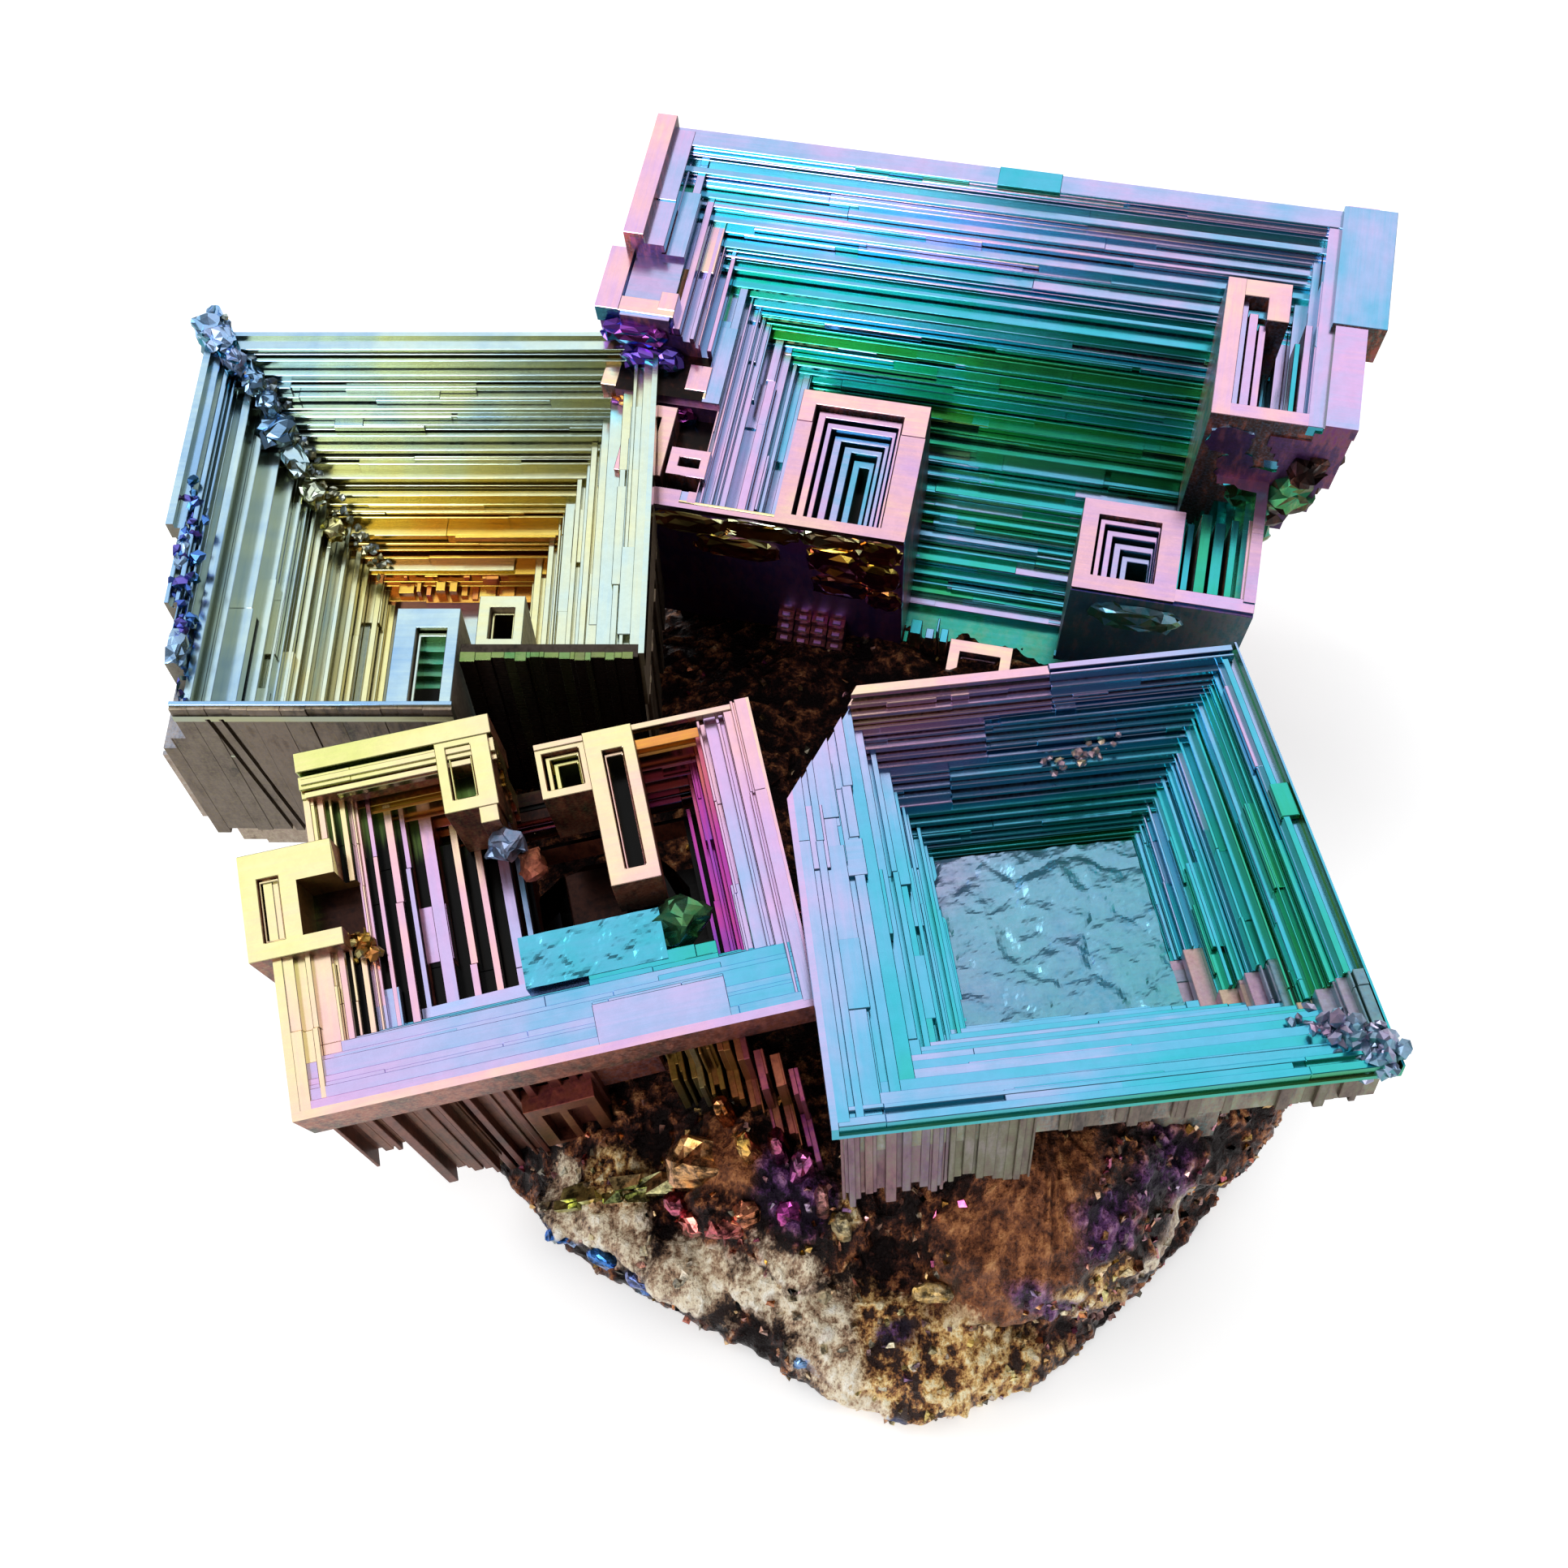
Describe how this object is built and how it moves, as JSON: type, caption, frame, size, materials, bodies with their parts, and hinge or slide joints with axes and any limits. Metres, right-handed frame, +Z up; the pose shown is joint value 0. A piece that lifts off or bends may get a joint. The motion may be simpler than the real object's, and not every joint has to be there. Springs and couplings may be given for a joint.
{
  "type": "bismuth hopper crystal",
  "caption": "Cluster of stepped, hollow square bismuth hopper crystals with iridescent ledges, grown on a rough crust that it rests on.",
  "frame": {"origin": "middle of the bounding box in plan, on the flat underside of the crust", "axes": "+Z up from the underside towards the rims of the hoppers, -Y towards the crust's front tip, +X to the right seen from the front"},
  "size_m": [0.068, 0.0678, 0.0315],
  "materials": {
    "bismuth": "metal under an iridescent oxide film"
  },
  "bodies": {
    "root": {"bismuth_crystal": "bismuth"}
  },
  "joints": []
}
